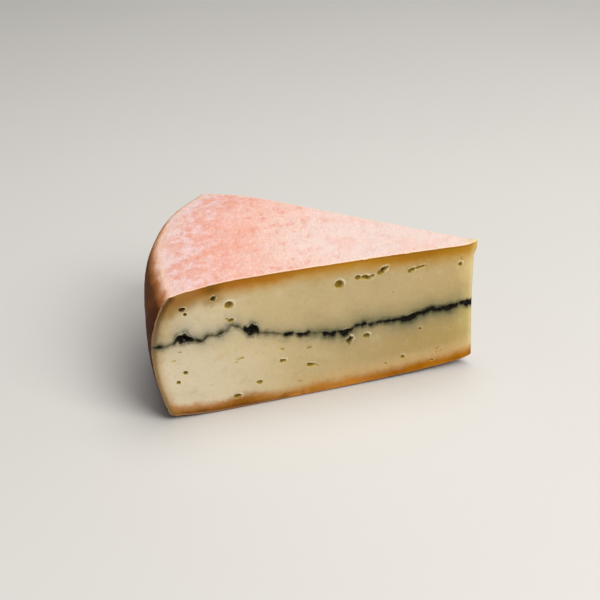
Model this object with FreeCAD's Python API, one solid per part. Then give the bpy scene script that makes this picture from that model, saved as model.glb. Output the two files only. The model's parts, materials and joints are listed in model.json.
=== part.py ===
import FreeCAD, Part
import math
import os

# A wedge cut from a round, low cheese with a thin layer of ash between its two
# halves. Millimetres. While it is worked out, the wheel's axis stands at x = 0,
# y = 0, the wedge's tip is on that axis and the rind heel points to -X; the
# finished solids are then moved so that the origin is under the middle of the
# bounding box, on the surface that the wedge rests on. +Z is up.

# ---- driving dimensions ---------------------------------------------------
WHEEL_RADIUS = 170.2      # wheel's radius at its girth, the widest part of the rim
WHEEL_HEIGHT = 71.9       # wheel's height over the crown of its top
CUT_ANGLE = 46.5          # angle between the two cuts, degrees
GIRTH_HEIGHT = 37.5       # height of the widest part of the rim

TOP_FLAT_RADIUS = 120.0   # the top starts to fall away outside this radius
TOP_EDGE_RADIUS = 160.6   # radius of the top's edge, where it meets the rim
TOP_EDGE_DROP = 4.2       # how far the top has fallen at that edge
TOP_CENTRE_DROP = 1.3     # how far the top has sunk at the wheel's centre
BOTTOM_FLAT_RADIUS = 125.0
BOTTOM_EDGE_RADIUS = 163.6
BOTTOM_EDGE_RISE = 2.9    # how far the bottom has lifted at its outer edge
BOTTOM_TIP_RISE = 5.0     # how far the bottom has lifted at the tip
BOTTOM_TIP_FADE = 32.0    # radius over which that lift fades away
BOTTOM_PRESSED = 0.3      # the skin is drawn this much lower, and pressed flat where it rests
RIM_TOP_POWER = 2.35      # roundness of the rim above the girth
RIM_BOTTOM_POWER = 1.7    # roundness of the rim below the girth
EDGE_ROUND = 3.2          # length of each side taken by an edge's rounding

SHOULDER_SWELL = 4.6      # the top edge stands out this much more, away from the first cut
SHOULDER_RISE = 1.3       # low wave in the height of the top edge
RIM_FLAT = 1.2            # shallow flattened patch on the rim

TIP_SWELL = {-1: 2.3, 1: 1.5}   # how far the first and the second cut swell near the tip
TIP_BLUNT = 3.0           # length over which the tip is blunt
TIP_FADE = 45.0           # length over which the swell fades away
FACE_HOLLOW = 0.7         # how far the cut faces are hollow between the rinds

ASH_THICKNESS = 1.5
ASH_WAVE = 1.5            # waves of the ash layer inside the wedge

# height of the ash layer along the first cut, by distance from the tip
ASH_LINE = [(-30, 36.2), (0, 36.2), (9, 36.8), (18, 35.5), (25, 36.5), (33, 34.5),
            (45, 34.3), (60, 34.8), (70, 32.5), (80, 33.4), (93, 36.0), (105, 37.8),
            (115, 41.0), (122, 43.8), (130, 47.2), (140, 44.5), (147, 43.0),
            (155, 45.3), (162, 43.1), (168, 44.2), (190, 44.5)]

HALF = math.radians(CUT_ANGLE / 2)
SLICES = 15               # sections that the outer skin is drawn through
SLICE_REACH = 82.0        # the uncut skin reaches this far each side
TIP_REACH = 14.0          # and this far past the tip


def smooth(t):
    t = min(max(t, 0.0), 1.0)
    return t * t * (3 - 2 * t)


# ---- section of the wheel -------------------------------------------------
def top_height(r):
    z = WHEEL_HEIGHT - TOP_CENTRE_DROP * max(0.0, 1 - r / 105.0) ** 1.3
    if r > TOP_FLAT_RADIUS:
        z -= TOP_EDGE_DROP * ((r - TOP_FLAT_RADIUS) / (TOP_EDGE_RADIUS - TOP_FLAT_RADIUS)) ** 2
    return z


def bottom_height(r):
    z = (BOTTOM_TIP_RISE + BOTTOM_PRESSED) * math.exp(-r / BOTTOM_TIP_FADE) - BOTTOM_PRESSED
    if r > BOTTOM_FLAT_RADIUS:
        z += BOTTOM_EDGE_RISE * ((r - BOTTOM_FLAT_RADIUS) / (BOTTOM_EDGE_RADIUS - BOTTOM_FLAT_RADIUS)) ** 2
    return z


def rim_radius(z):
    top = WHEEL_HEIGHT - TOP_EDGE_DROP
    if z > GIRTH_HEIGHT:
        t = (z - GIRTH_HEIGHT) / (top - GIRTH_HEIGHT)
        return WHEEL_RADIUS - (WHEEL_RADIUS - TOP_EDGE_RADIUS) * t ** RIM_TOP_POWER
    t = (GIRTH_HEIGHT - z) / (GIRTH_HEIGHT - BOTTOM_EDGE_RISE)
    return WHEEL_RADIUS - (WHEEL_RADIUS - BOTTOM_EDGE_RADIUS) * t ** RIM_BOTTOM_POWER


def bezier(a, b, c, steps):
    pts = []
    for i in range(steps + 1):
        t = i / steps
        pts.append(tuple(a[k] * (1 - t) ** 2 + 2 * b[k] * t * (1 - t) + c[k] * t * t for k in (0, 1)))
    return pts


def rim_section():
    """Radius and height from the top's flat, round the rim, to the bottom's flat."""
    pts = []
    r0, r1 = TOP_FLAT_RADIUS - 2, TOP_EDGE_RADIUS - EDGE_ROUND
    n = 7
    for i in range(n):
        r = r0 + (r1 - r0) * math.sin(math.pi / 2 * i / n)
        pts.append((r, top_height(r)))
    top = WHEEL_HEIGHT - TOP_EDGE_DROP
    z1 = top - EDGE_ROUND
    pts += bezier((r1, top_height(r1)), (TOP_EDGE_RADIUS + 0.2, top + 0.3), (rim_radius(z1), z1), 4)
    z2 = BOTTOM_EDGE_RISE + EDGE_ROUND
    n = 12
    for i in range(1, n):
        t = 0.5 - 0.5 * math.cos(math.pi * i / n)
        z = z1 + (z2 - z1) * (0.45 * i / n + 0.55 * t)
        pts.append((rim_radius(z), z))
    r2 = BOTTOM_EDGE_RADIUS - EDGE_ROUND
    pts += bezier((rim_radius(z2), z2), (BOTTOM_EDGE_RADIUS - 0.1, BOTTOM_EDGE_RISE - 0.1),
                  (r2, bottom_height(r2)), 4)
    r3 = BOTTOM_FLAT_RADIUS - 2
    n = 7
    for i in range(1, n + 1):
        r = r3 + (r2 - r3) * (1 - math.sin(math.pi / 2 * i / n))
        pts.append((r, bottom_height(r)))
    return pts


def settle(r, z, angle):
    """The rim is not quite even all round: where a point of the section lies at an angle."""
    deg = math.degrees(angle)
    out = smooth((r - 100) / 55.0)
    high = smooth((z - 40) / 26.0)
    swell = SHOULDER_SWELL * smooth((deg + 22) / 28.0)
    flat = RIM_FLAT * math.exp(-((deg + 13) / 7.0) ** 2) * math.exp(-((z - 36) / 20.0) ** 2)
    rise = SHOULDER_RISE * math.exp(-((deg - 11) / 8.0) ** 2) * smooth((r - 90) / 60.0) * high
    return r + out * (swell * high - flat), z + rise


# ---- outer skin of the uncut piece ----------------------------------------
def slice_points(y):
    rim = rim_section()
    pts = []
    n = 9

    def edge_x(r, z):
        r2, _ = settle(r, z, math.asin(y / r))
        return -math.sqrt(r2 * r2 - y * y)

    x_end = edge_x(*rim[0])
    for i in range(n):
        x = TIP_REACH + (x_end - TIP_REACH) * i / n
        r = math.hypot(x, y)
        z = top_height(min(r, TOP_FLAT_RADIUS))
        angle = math.atan2(y, -x) if x < -40 else 0.0
        pts.append(FreeCAD.Vector(x, y, settle(r, z, angle)[1] if x < -40 else z))
    for r, z in rim:
        r2, z2 = settle(r, z, math.asin(y / r))
        pts.append(FreeCAD.Vector(-math.sqrt(r2 * r2 - y * y), y, z2))
    x_end = edge_x(*rim[-1])
    for i in range(n - 1, -1, -1):
        x = TIP_REACH + (x_end - TIP_REACH) * i / n
        pts.append(FreeCAD.Vector(x, y, bottom_height(min(math.hypot(x, y), BOTTOM_FLAT_RADIUS))))
    return pts


def grid_face(rows):
    surface = Part.BSplineSurface()
    surface.interpolate(rows)
    return surface.toShape()


def flat_face(edges):
    return Part.Face(Part.Wire(Part.__sortEdges__(edges)))


def uncut_piece():
    rows = []
    for i in range(SLICES):
        y = -SLICE_REACH + 2 * SLICE_REACH * i / (SLICES - 1)
        rows.append(slice_points(y))
    skin = grid_face(rows)
    sides, ends = [], []
    for e in skin.Edges:
        ys = [e.valueAt(e.FirstParameter).y, e.valueAt(e.LastParameter).y]
        (sides if abs(ys[0] - ys[1]) < 1 else ends).append(e)
    caps = []
    risers = []
    for e in sides:
        a, b = e.valueAt(e.FirstParameter), e.valueAt(e.LastParameter)
        riser = Part.makeLine(a, b)
        risers.append(riser)
        caps.append(flat_face([e, riser]))
    caps.append(flat_face(ends + risers))
    solid = Part.Solid(Part.makeShell([skin] + caps))
    if not solid.isClosed():
        shell = Part.makeShell([skin] + caps)
        shell.sewShape()
        solid = Part.Solid(shell)
    if solid.Volume < 0:
        solid.reverse()
    return solid


# ---- the two cuts -----------------------------------------------------------
def face_swell(s, z, side):
    swell = 0.0
    if s > 0:
        swell += TIP_SWELL[side] * (1 - math.exp(-s / TIP_BLUNT)) * math.exp(-s / TIP_FADE)
    across = max(0.0, 1 - ((z - 36.0) / 35.0) ** 4)
    along = smooth((WHEEL_RADIUS - s) / 14.0) * smooth((s + 6) / 10.0)
    return swell - FACE_HOLLOW * across * along


def cutter(side):
    """Everything outside one cut; side is -1 for the first cut, +1 for the second."""
    along = FreeCAD.Vector(-math.cos(HALF), side * math.sin(HALF), 0)
    out = FreeCAD.Vector(math.sin(HALF), side * math.cos(HALF), 0)
    stations = [-40, -30, -20, -12, -6, -3, -1, 0, 1, 2.2, 3.6, 5.4, 8, 12, 18, 26, 36, 48,
                64, 82, 100, 118, 136, 150, 160, 168, 176, 190, 205]
    rows = []
    for s in stations:
        row = []
        for i in range(15):
            z = -12 + 96.0 * i / 14
            row.append(along * s + out * face_swell(s, z, side) + FreeCAD.Vector(0, 0, z))
        rows.append(row)
    return grid_face(rows).extrude(out * 130)


# ---- the ash layer ------------------------------------------------------------
def line_height(s):
    for (a, za), (b, zb) in zip(ASH_LINE, ASH_LINE[1:]):
        if s <= b:
            t = min(max((s - a) / (b - a), 0.0), 1.0)
            return za + (zb - za) * t * t * (3 - 2 * t)
    return ASH_LINE[-1][1]


def ash_height(x, y):
    """Height of the layer's middle: the line on the first cut, with waves growing inwards."""
    depth = -x * math.sin(HALF) + y * math.cos(HALF)
    r = math.hypot(x, y) if x < 0 else -x
    grow = 1 - math.exp(-max(depth, 0.0) / 18.0)
    wave = math.sin(depth / 13.0 + r / 21.0) + 0.6 * math.sin(depth / 7.0 - r / 16.0 + 1.0)
    return line_height(r) + ASH_WAVE * grow * wave


def half_space(offset, reach):
    rows = []
    nx, ny = 54, 30
    for i in range(nx):
        x = -192.0 + (212.0 * i) / (nx - 1)
        rows.append([FreeCAD.Vector(x, -88 + 176.0 * j / (ny - 1),
                                    ash_height(x, -88 + 176.0 * j / (ny - 1)) + offset)
                     for j in range(ny)])
    return grid_face(rows).extrude(FreeCAD.Vector(0, 0, reach))


def main():
    wedge = uncut_piece()
    for side in (-1, 1):
        wedge = wedge.cut(cutter(side))
    wedge = wedge.cut(Part.makeBox(400, 400, 20, FreeCAD.Vector(-300, -200, -20)))
    above = half_space(ASH_THICKNESS / 2, 60)
    below = half_space(-ASH_THICKNESS / 2, -70)
    parts = {
        "paste_upper": wedge.common(above),
        "ash_layer": wedge.cut(above).cut(below),
        "paste_lower": wedge.common(below),
    }

    pts = wedge.tessellate(0.05)[0]
    lo = [min(p[k] for p in pts) for k in range(3)]
    hi = [max(p[k] for p in pts) for k in range(3)]
    shift = FreeCAD.Vector(-(lo[0] + hi[0]) / 2, -(lo[1] + hi[1]) / 2, -lo[2])

    os.makedirs("parts", exist_ok=True)
    total = 0.0
    for name, shape in parts.items():
        solids = shape.Solids
        shape = max(solids, key=lambda s: s.Volume)
        print(name, "solids", len(solids), "valid", shape.isValid(), "volume", round(shape.Volume))
        shape.translate(shift)
        total += shape.Volume
        shape.exportStep("parts/%s.step" % name)
    print("wedge volume", round(wedge.Volume), "parts together", round(total))
    print("shift", [round(v, 3) for v in shift], "size", [round(hi[k] - lo[k], 3) for k in range(3)])


main()
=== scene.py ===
import json
import math

import bpy
import numpy as np
from mathutils import Matrix, Vector
from mathutils.geometry import delaunay_2d_cdt

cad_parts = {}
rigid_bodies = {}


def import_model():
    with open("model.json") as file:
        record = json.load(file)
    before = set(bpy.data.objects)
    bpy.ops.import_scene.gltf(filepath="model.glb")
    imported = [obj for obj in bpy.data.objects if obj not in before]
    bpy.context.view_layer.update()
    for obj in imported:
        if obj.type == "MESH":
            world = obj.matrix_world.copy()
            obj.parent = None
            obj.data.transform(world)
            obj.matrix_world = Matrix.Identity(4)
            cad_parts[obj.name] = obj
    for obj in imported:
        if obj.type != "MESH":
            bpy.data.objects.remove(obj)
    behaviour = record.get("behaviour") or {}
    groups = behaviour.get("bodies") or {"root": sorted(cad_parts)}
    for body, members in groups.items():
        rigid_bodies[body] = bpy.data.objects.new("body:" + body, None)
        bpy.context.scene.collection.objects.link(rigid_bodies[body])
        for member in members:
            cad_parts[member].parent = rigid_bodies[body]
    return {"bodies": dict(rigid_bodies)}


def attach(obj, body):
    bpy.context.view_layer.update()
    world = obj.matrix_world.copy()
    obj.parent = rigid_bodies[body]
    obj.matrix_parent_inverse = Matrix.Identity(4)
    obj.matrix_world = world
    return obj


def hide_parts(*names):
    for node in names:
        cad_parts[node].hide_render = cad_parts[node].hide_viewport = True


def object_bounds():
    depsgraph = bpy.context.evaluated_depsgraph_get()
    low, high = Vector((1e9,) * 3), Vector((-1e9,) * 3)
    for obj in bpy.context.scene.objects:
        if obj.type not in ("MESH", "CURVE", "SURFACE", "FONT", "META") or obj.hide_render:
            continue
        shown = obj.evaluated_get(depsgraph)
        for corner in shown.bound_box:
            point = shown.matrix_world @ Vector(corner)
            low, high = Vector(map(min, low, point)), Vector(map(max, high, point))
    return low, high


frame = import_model()
CAD_LO, CAD_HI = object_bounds()

# Everything below is worked out in millimetres in the wheel's own frame: the
# wheel's axis at x = 0, y = 0, the wedge's tip on it, the rind heel towards -X,
# the first cut towards -Y, the base at z = 0. It is then moved into the frame.
APEX_X = CAD_LO.x * 1000 + 170.345
APEX_Y = (CAD_LO.y + CAD_HI.y) * 500 - 0.093

# ---------------------------------------------------------------- form ------
WHEEL_RADIUS, WHEEL_HEIGHT, GIRTH_HEIGHT = 170.2, 71.9, 37.5
TOP_FLAT_RADIUS, TOP_EDGE_RADIUS, TOP_EDGE_DROP, TOP_CENTRE_DROP = 120.0, 160.6, 4.2, 1.3
BOTTOM_FLAT_RADIUS, BOTTOM_EDGE_RADIUS, BOTTOM_EDGE_RISE = 125.0, 163.6, 2.9
BOTTOM_TIP_RISE, BOTTOM_TIP_FADE, BOTTOM_PRESSED = 5.0, 32.0, 0.3
RIM_TOP_POWER, RIM_BOTTOM_POWER, EDGE_ROUND = 2.35, 1.7, 3.2
SHOULDER_SWELL, SHOULDER_RISE, RIM_FLAT = 4.6, 1.3, 1.2
TIP_SWELL = {-1: 2.3, 1: 1.5}
TIP_BLUNT, TIP_FADE, FACE_HOLLOW = 3.0, 45.0, 0.7
ASH_WAVE = 1.5
HALF = math.radians(46.5 / 2)
LIP = 0.55                 # radius of the edge where the rind meets a cut

ALONG = {s: np.array([-math.cos(HALF), s * math.sin(HALF), 0.0]) for s in (-1, 1)}
OUT = {s: np.array([math.sin(HALF), s * math.cos(HALF), 0.0]) for s in (-1, 1)}


def smooth(t):
    t = np.clip(t, 0.0, 1.0)
    return t * t * (3 - 2 * t)


def top_height(r):
    z = WHEEL_HEIGHT - TOP_CENTRE_DROP * np.clip(1 - r / 105.0, 0, None) ** 1.3
    return z - TOP_EDGE_DROP * (np.clip(r - TOP_FLAT_RADIUS, 0, None) / (TOP_EDGE_RADIUS - TOP_FLAT_RADIUS)) ** 2


def bottom_height(r):
    z = (BOTTOM_TIP_RISE + BOTTOM_PRESSED) * np.exp(-r / BOTTOM_TIP_FADE) - BOTTOM_PRESSED
    z = z + BOTTOM_EDGE_RISE * (np.clip(r - BOTTOM_FLAT_RADIUS, 0, None)
                                / (BOTTOM_EDGE_RADIUS - BOTTOM_FLAT_RADIUS)) ** 2
    return 0.5 * (z + np.sqrt(z * z + 0.01))


def rim_radius(z):
    top = WHEEL_HEIGHT - TOP_EDGE_DROP
    up = np.clip((z - GIRTH_HEIGHT) / (top - GIRTH_HEIGHT), 0, None)
    dn = np.clip((GIRTH_HEIGHT - z) / (GIRTH_HEIGHT - BOTTOM_EDGE_RISE), 0, None)
    return (WHEEL_RADIUS - (WHEEL_RADIUS - TOP_EDGE_RADIUS) * up ** RIM_TOP_POWER
            - (WHEEL_RADIUS - BOTTOM_EDGE_RADIUS) * dn ** RIM_BOTTOM_POWER)


def bezier(a, b, c, t):
    a, b, c = (np.asarray(v, float) for v in (a, b, c))
    t = np.asarray(t)[:, None]
    return a * (1 - t) ** 2 + 2 * b * t * (1 - t) + c * t * t


def section(half):
    """The section from the middle of a face of the wheel, over its edge and along the rim:
    arc length, radius, height, and the arc length of the edge."""
    if half == "top":
        r1 = TOP_EDGE_RADIUS - EDGE_ROUND
        edge = WHEEL_HEIGHT - TOP_EDGE_DROP
        z1 = edge - EDGE_ROUND
        r = np.linspace(0, r1, 1500)[:-1]
        cap = np.c_[r, top_height(r)]
        turn = bezier((r1, float(top_height(np.array(r1)))), (TOP_EDGE_RADIUS + 0.2, edge + 0.3),
                      (float(rim_radius(np.array(z1))), z1), np.linspace(0, 1, 60))
        z = np.linspace(z1, 18.0, 400)[1:]
    else:
        r1 = BOTTOM_EDGE_RADIUS - EDGE_ROUND
        z1 = BOTTOM_EDGE_RISE + EDGE_ROUND
        r = np.linspace(0, r1, 1500)[:-1]
        cap = np.c_[r, bottom_height(r)]
        turn = bezier((r1, float(bottom_height(np.array(r1)))), (BOTTOM_EDGE_RADIUS - 0.1, BOTTOM_EDGE_RISE - 0.1),
                      (float(rim_radius(np.array(z1))), z1), np.linspace(0, 1, 60))
        z = np.linspace(z1, 62.0, 400)[1:]
    rim = np.c_[rim_radius(z), z]
    pts = np.vstack([cap, turn, rim])
    u = np.r_[0, np.cumsum(np.hypot(*np.diff(pts, axis=0).T))]
    return {"u": u, "r": pts[:, 0], "z": pts[:, 1], "edge": u[len(cap) + 30], "sign": -1 if half == "top" else 1,
            "rim_from": len(cap) + 30}


SECTIONS = {h: section(h) for h in ("top", "bottom")}


def settle(r, z, angle):
    """The rim is not quite even all round."""
    deg = np.degrees(angle)
    out = smooth((r - 100) / 55.0)
    high = smooth((z - 40) / 26.0)
    swell = SHOULDER_SWELL * smooth((deg + 22) / 28.0)
    flat = RIM_FLAT * np.exp(-((deg + 13) / 7.0) ** 2) * np.exp(-((z - 36) / 20.0) ** 2)
    rise = SHOULDER_RISE * np.exp(-((deg - 11) / 8.0) ** 2) * smooth((r - 90) / 60.0) * high
    return r + out * (swell * high - flat), z + rise


def face_swell(s, z, side):
    swell = np.where(s > 0, TIP_SWELL[side] * (1 - np.exp(-np.clip(s, 0, None) / TIP_BLUNT))
                     * np.exp(-np.clip(s, 0, None) / TIP_FADE), 0.0)
    across = np.clip(1 - ((z - 36.0) / 35.0) ** 4, 0, None)
    along = smooth((WHEEL_RADIUS - s) / 14.0) * smooth((s + 6) / 10.0)
    return swell - FACE_HOLLOW * across * along


def face_point(s, z, side):
    w = face_swell(s, z, side)
    p = s[:, None] * ALONG[side] + w[:, None] * OUT[side]
    p[:, 2] = z
    return p


def tip_start(z, side):
    """Distance along a cut at which the two cuts meet."""
    s = np.zeros_like(z)
    for _ in range(40):
        s = s - 0.35 * (s + face_swell(s, z, side) / math.tan(HALF))
    return s


# ---------------------------------------------------------------- noise -----
def noise(p, size, seed):
    """Smooth random values from about -1 to 1, alike over about size millimetres."""
    n = 32
    table = np.random.default_rng(seed).random((n, n, n)) * 2 - 1
    q = np.asarray(p, float) / size + 400.37
    i = np.floor(q).astype(int)
    f = q - i
    f = f * f * f * (f * (f * 6 - 15) + 10)
    out = np.zeros(len(q))
    for dx in (0, 1):
        for dy in (0, 1):
            for dz in (0, 1):
                w = ((f[:, 0] if dx else 1 - f[:, 0]) * (f[:, 1] if dy else 1 - f[:, 1])
                     * (f[:, 2] if dz else 1 - f[:, 2]))
                out += w * table[(i[:, 0] + dx) % n, (i[:, 1] + dy) % n, (i[:, 2] + dz) % n]
    return out * 1.5


def fbm(p, size, seed, octaves=3, gain=0.5):
    total = np.zeros(len(p))
    amp = 1.0
    for k in range(octaves):
        total += amp * noise(p, size / 2 ** k, seed + 17 * k)
        amp *= gain
    return total


# ---------------------------------------------------------------- ash -------
# Middle of the ash layer along the first cut, by distance from the tip.
ASH_LINE = [(-30, 36.4), (0, 36.4), (1.9, 36.4), (5.3, 37), (8.6, 37.6), (11.9, 36.3), (15.2, 35.9), (18.6, 35.7),
            (21.9, 35.9), (25.2, 36.6), (28.6, 35.8), (31.9, 35.2), (35.2, 34.1), (38.5, 34), (41.9, 33.7),
            (45.2, 34.1), (48.5, 34.3), (51.8, 34.1), (55.2, 34.2), (58.5, 33.8), (61.8, 34.7), (65.1, 35.1),
            (68.5, 32.6), (71.8, 32.4), (75.1, 33.3), (78.3, 32.3), (81.5, 33.5), (84.6, 34.3), (87.8, 34.2),
            (91, 35.5), (94.2, 35.2), (97.4, 36.6), (100.6, 36.7), (103.8, 37.1), (106.7, 37.9), (109.6, 39.2),
            (112.4, 39.5), (115.3, 40.3), (118.2, 43), (121.1, 42.8), (123.9, 43.7), (126.8, 45.9), (129.7, 46.9),
            (132.6, 44.4), (135.6, 43.6), (138.5, 43.4), (141.5, 43.8), (144.4, 41.7), (147.4, 42), (150.3, 43.1),
            (153.3, 43.9), (156.2, 44.9), (159.1, 42.2), (162.1, 41.8), (165, 42.2), (170, 42.8), (190, 42.8)]
# Where the ash lies thick on the first cut: distance from the tip, half length, thickness, slant, and how far it is
# hollowed out.
ASH_LUMPS = [(166.2, 3.8, 0.8, 0.05, 0.1), (161.6, 1.6, 0.1, 0.0, 0.0), (157.4, 1.9, 1.0, 0.1, 0.5),
             (153.8, 3.4, 3.6, -0.12, 1.7), (150.7, 2.6, 1.7, 0.0, 1.0), (146.2, 2.8, 0.75, -0.1, 0.3),
             (142.8, 2.0, 0.6, 0.1, 0.0), (135.8, 2.6, 0.7, 0.25, 0.2), (127.0, 1.8, 0.5, 0.2, 0.0),
             (121.9, 2.3, 1.7, 0.3, 0.6), (119.1, 3.2, 4.0, 0.3, 1.5), (112.4, 1.4, 0.4, 0.0, 0.0),
             (108.6, 1.2, 0.35, 0.0, 0.0), (101.0, 3.0, 1.5, 0.4, 0.7), (95.2, 2.4, 1.25, 0.36, 0.6),
             (91.4, 2.4, 1.1, 0.3, 0.4), (87.4, 1.2, 0.5, 0.0, 0.3), (81.3, 2.6, 1.35, 0.05, 0.7),
             (77.8, 2.4, 1.2, 0.15, 0.4), (74.4, 1.8, 0.8, 0.1, 0.2), (71.8, 2.8, 2.2, 0.25, 0.8),
             (68.6, 2.2, 1.2, 0.2, 0.3), (64.8, 2.4, 0.9, 0.1, 0.2), (61.4, 2.2, 1.2, 0.0, 0.3),
             (57.4, 2.4, 0.8, 0.0, 0.0), (53.0, 2.8, 0.85, 0.1, 0.0), (48.6, 3.4, 0.9, 0.1, 0.0),
             (44.6, 2.6, 1.0, 0.1, 0.1), (41.8, 1.8, 1.2, 0.1, 0.1), (38.8, 3.4, 1.9, 0.16, 0.4), (35.4, 3.1, 3.5, 0.14, 0.6),
             (31.6, 3.0, 1.2, 0.1, 0.1), (27.2, 3.2, 1.65, 0.15, 0.2), (23.4, 2.8, 1.6, 0.0, 0.2),
             (19.0, 2.8, 1.7, 0.1, 0.1), (15.0, 3.0, 2.2, 0.12, 0.4), (11.2, 2.4, 1.2, 0.0, 0.1),
             (7.0, 2.4, 1.1, 0.05, 0.1), (4.4, 2.2, 1.8, 0.0, 0.1), (1.0, 2.6, 1.4, 0.0, 0.0)]


# How the ash greys the cut above and below the layer: distance from the tip, strength, how far it reaches.
HAZE = {"top": [(0, 0.3, 5), (4, 0.4, 5), (9, 0.95, 5), (24, 1.05, 5), (46, 1.0, 5), (68, 1.05, 5), (80, 1.15, 5), (90, 0.85, 5),
                (100, 0.5, 5), (111, 0.5, 4.4), (122, 0.66, 3.2), (132, 0.95, 3.3), (142, 0.95, 3.3), (149, 0.95, 3.8), (156, 0.85, 3.6),
                (163, 0.55, 3.4), (170, 0.4, 3.4)],
        "bottom": [(0, 0.3, 5), (4, 0.4, 5), (10, 1.3, 5), (36, 1.4, 5.2), (46, 1.1, 5), (54, 0.65, 5), (60, 0.65, 5), (66, 1.05, 4.7),
                   (80, 1.05, 4.0), (90, 0.85, 3.9), (97, 0.55, 3.5), (104, 0.42, 3.2), (112, 0.5, 3.0), (118, 0.42, 2.8), (126, 0.5, 2.8),
                   (134, 0.85, 3.3), (142, 0.6, 3.3), (152, 0.5, 3.3), (160, 0.25, 3.3), (170, 0.2, 3.3)]}


def lumps_for(side):
    if side == -1:
        return ASH_LUMPS
    rng = np.random.default_rng(4471)
    out, s = [], 3.0
    while s < 166:
        t = float(rng.choice([0.4, 0.9, 1.4, 2.2, 3.2], p=[.2, .3, .25, .15, .1]))
        long = rng.choice([1.0, 1.6, 2.6], p=[.45, .3, .25]) if t < 2 else 1.0
        out.append((s, (rng.uniform(1.0, 2.1) + 0.5 * t) * long, t * (0.85 if long > 2 else 1.0), rng.uniform(-0.1, 0.4),
                    max(0.0, t - 1.4) * 0.6))
        s += rng.uniform(3.0, 8.0)
    return out


def lump_fields(r, side):
    """Along a cut: the ash's extra thickness, its shift up and how far it is hollowed."""
    thick, shift, hollow = np.zeros(len(r)), np.zeros(len(r)), np.zeros(len(r))
    for s0, w, t, slant, h in lumps_for(side):
        q = np.abs(r - s0) / w
        bell = np.clip(1 - q ** 2.4, 0, None) ** 0.9
        thick = np.maximum(thick, t * bell) + 0.12 * np.minimum(thick, t * bell)
        shift += slant * (s0 - r) * np.clip(1 - q * q * 0.7, 0, None)
        hollow = np.maximum(hollow, h * bell)
    return thick, shift, hollow


def line_height(s):
    out = np.full(np.shape(s), ASH_LINE[-1][1], float)
    done = np.zeros(np.shape(s), bool)
    for (a, za), (b, zb) in zip(ASH_LINE, ASH_LINE[1:]):
        here = ~done & (s <= b)
        t = np.clip((s - a) / (b - a), 0, 1)
        out = np.where(here, za + (zb - za) * t * t * (3 - 2 * t), out)
        done |= here
    return out


def depth_in(p, side):
    """How far inside a cut's flat plane a point lies."""
    return -(p[:, :2] @ OUT[side][:2])


def ash_middle(p):
    d = depth_in(p, -1)
    r = np.where(p[:, 0] < 0, np.hypot(p[:, 0], p[:, 1]), -p[:, 0])
    grow = 1 - np.exp(-np.clip(d, 0, None) / 18.0)
    wave = np.sin(d / 13.0 + r / 21.0) + 0.6 * np.sin(d / 7.0 - r / 16.0 + 1.0)
    flat = p.copy()
    flat[:, 2] = 0
    slant = sum(np.exp(-np.clip(depth_in(p, s), 0, None) / 2.5) * lump_fields(r, s)[1] for s in (-1, 1))
    return line_height(r) + ASH_WAVE * grow * wave + slant + 0.22 * noise(flat, 5.0, 31) + 0.2 * noise(flat, 2.1, 32)


def ash_thick(p):
    r = np.hypot(p[:, 0], p[:, 1])
    flat = p.copy()
    flat[:, 2] = 0
    inside = np.minimum(np.minimum(depth_in(p, -1), depth_in(p, 1)), WHEEL_RADIUS - r)
    total = 0.24 + 1.0 * smooth(inside / 4.0)
    near = {s: np.exp(-np.clip(depth_in(p, s), 0, None) / 3.0) for s in (-1, 1)}
    for side in (-1, 1):
        total += near[side] * lump_fields(r, side)[0]
    ragged = 1 + 0.26 * noise(flat, 2.1, 41) + 0.2 * noise(flat, 0.9, 42)
    total = total * np.clip(ragged, 0.45, 1.9)
    rim = smooth((WHEEL_RADIUS - 1.5 - r) / 4.0)
    return 0.2 + (np.maximum(total, 0.2) - 0.2) * np.clip(rim + 0.25 * near[-1] + 0.25 * near[1], 0.05, 1)


def ash_edge(p, which):
    """Height of the ash layer's upper (+1) or lower (-1) surface."""
    flat = p.copy()
    flat[:, 2] = 0
    share = np.clip(0.5 + 0.24 * noise(flat, 3.4, 51 + which) + 0.14 * noise(flat, 1.3, 53 + which), 0.15, 0.9)
    return ash_middle(p) + which * ash_thick(p) * share


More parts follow.
